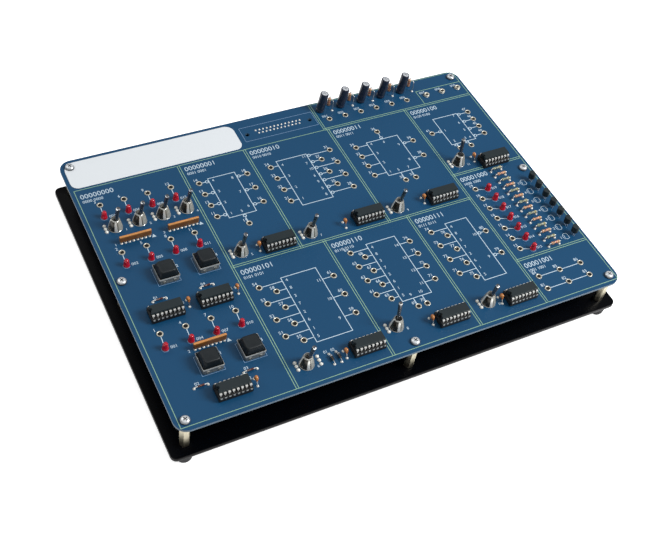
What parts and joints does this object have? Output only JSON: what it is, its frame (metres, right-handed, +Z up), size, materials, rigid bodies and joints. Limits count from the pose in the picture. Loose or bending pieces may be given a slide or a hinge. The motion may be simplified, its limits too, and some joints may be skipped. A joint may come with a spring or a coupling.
{
  "type": "digital logic trainer",
  "caption": "Bench trainer for digital logic: a blue circuit board on standoffs over a black base, with toggle switches, keys, lamps, jumper sockets and a rear connector.",
  "frame": {"origin": "under the middle of the base plate, on the bench", "axes": "+X to the right along the front edge, +Y to the back edge with the connector, +Z up"},
  "size_m": [0.307, 0.218, 0.0536],
  "materials": {
    "acrylic_black": "gloss",
    "rubber_black": "matte",
    "standoff_metal": "satin",
    "screw_steel": "polished",
    "board_blue": "satin",
    "socket_metal": "polished",
    "switch_metal": "polished",
    "switch_body": "matte",
    "housing_grey": "matte",
    "key_black": "matte",
    "contact_steel": "satin",
    "socket_plastic": "matte",
    "ic_plastic": "matte",
    "led_red": "gloss",
    "network_tan": "satin",
    "resistor_tan": "satin",
    "ceramic_orange": "satin",
    "lead_tin": "satin",
    "diode_dark": "gloss",
    "can_sleeve": "gloss",
    "transistor_black": "matte",
    "connector_metal": "satin",
    "connector_plastic": "matte"
  },
  "bodies": {
    "trainer_frame": {"base_plate": "acrylic_black", "rubber_feet": "rubber_black", "standoffs": "standoff_metal", "board_screws": "screw_steel", "circuit_board": "board_blue", "test_sockets": "socket_metal", "supply_sockets": "socket_metal", "toggle_bushings": "switch_metal", "toggle_bodies": "switch_body", "button_housings": "housing_grey", "snap_domes": "contact_steel", "ic_sockets": "socket_plastic", "ics": "ic_plastic", "leds": "led_red", "resistor_networks": "network_tan", "resistors": "resistor_tan", "resistor_leads": "lead_tin", "ceramic_capacitors": "ceramic_orange", "ceramic_leads": "lead_tin", "diodes": "diode_dark", "diode_leads": "lead_tin", "electrolytic_capacitors": "can_sleeve", "transistors": "transistor_black", "transistor_leads": "lead_tin", "upright_parts": "resistor_tan", "upright_leads": "lead_tin", "connector_shell": "connector_metal", "connector_insulator": "connector_plastic", "connector_body": "connector_plastic", "jackscrews": "connector_metal"},
    "toggle_1": {"toggle_lever_1": "switch_metal"},
    "toggle_2": {"toggle_lever_2": "switch_metal"},
    "toggle_3": {"toggle_lever_3": "switch_metal"},
    "toggle_4": {"toggle_lever_4": "switch_metal"},
    "toggle_5": {"toggle_lever_5": "switch_metal"},
    "toggle_6": {"toggle_lever_6": "switch_metal"},
    "toggle_7": {"toggle_lever_7": "switch_metal"},
    "toggle_8": {"toggle_lever_8": "switch_metal"},
    "toggle_9": {"toggle_lever_9": "switch_metal"},
    "toggle_10": {"toggle_lever_10": "switch_metal"},
    "toggle_11": {"toggle_lever_11": "switch_metal"},
    "button_1": {"button_cap_1": "key_black"},
    "button_2": {"button_cap_2": "key_black"},
    "button_3": {"button_cap_3": "key_black"},
    "button_4": {"button_cap_4": "key_black"}
  },
  "joints": [
    {"name": "toggle_1_tip", "type": "hinge", "parent": "trainer_frame", "child": "toggle_1", "pos_m": [-0.133, 0.0429, 0.0366], "axis": [1, 0, 0], "range_deg": [-18, 0]},
    {"name": "toggle_2_tip", "type": "hinge", "parent": "trainer_frame", "child": "toggle_2", "pos_m": [-0.1175, 0.0429, 0.0366], "axis": [1, 0, 0], "range_deg": [-18, 0]},
    {"name": "toggle_3_tip", "type": "hinge", "parent": "trainer_frame", "child": "toggle_3", "pos_m": [-0.102, 0.0429, 0.0366], "axis": [1, 0, 0], "range_deg": [-18, 0]},
    {"name": "toggle_4_tip", "type": "hinge", "parent": "trainer_frame", "child": "toggle_4", "pos_m": [-0.0865, 0.0429, 0.0366], "axis": [1, 0, 0], "range_deg": [-18, 0]},
    {"name": "toggle_5_tip", "type": "hinge", "parent": "trainer_frame", "child": "toggle_5", "pos_m": [-0.0686, -0.0021, 0.0366], "axis": [1, 0, 0], "range_deg": [-18, 0]},
    {"name": "toggle_6_tip", "type": "hinge", "parent": "trainer_frame", "child": "toggle_6", "pos_m": [-0.0214, -0.0027, 0.0366], "axis": [1, 0, 0], "range_deg": [-18, 0]},
    {"name": "toggle_7_tip", "type": "hinge", "parent": "trainer_frame", "child": "toggle_7", "pos_m": [0.042, -0.0025, 0.0366], "axis": [1, 0, 0], "range_deg": [-18, 0]},
    {"name": "toggle_8_tip", "type": "hinge", "parent": "trainer_frame", "child": "toggle_8", "pos_m": [0.1026, 0.0208, 0.0366], "axis": [1, 0, 0], "range_deg": [0, 18]},
    {"name": "toggle_9_tip", "type": "hinge", "parent": "trainer_frame", "child": "toggle_9", "pos_m": [-0.0666, -0.0919, 0.0366], "axis": [1, 0, 0], "range_deg": [-18, 0]},
    {"name": "toggle_10_tip", "type": "hinge", "parent": "trainer_frame", "child": "toggle_10", "pos_m": [-0.0051, -0.087, 0.0366], "axis": [1, 0, 0], "range_deg": [0, 18]},
    {"name": "toggle_11_tip", "type": "hinge", "parent": "trainer_frame", "child": "toggle_11", "pos_m": [0.0574, -0.0913, 0.0366], "axis": [1, 0, 0], "range_deg": [-18, 0]},
    {"name": "button_1_press", "type": "slide", "parent": "trainer_frame", "child": "button_1", "axis": [0, 0, -1], "range_m": [0, 0.0012], "stiffness_N_per_m": 800},
    {"name": "button_2_press", "type": "slide", "parent": "trainer_frame", "child": "button_2", "axis": [0, 0, -1], "range_m": [0, 0.0012], "stiffness_N_per_m": 800},
    {"name": "button_3_press", "type": "slide", "parent": "trainer_frame", "child": "button_3", "axis": [0, 0, -1], "range_m": [0, 0.0012], "stiffness_N_per_m": 800},
    {"name": "button_4_press", "type": "slide", "parent": "trainer_frame", "child": "button_4", "axis": [0, 0, -1], "range_m": [0, 0.0012], "stiffness_N_per_m": 800}
  ]
}
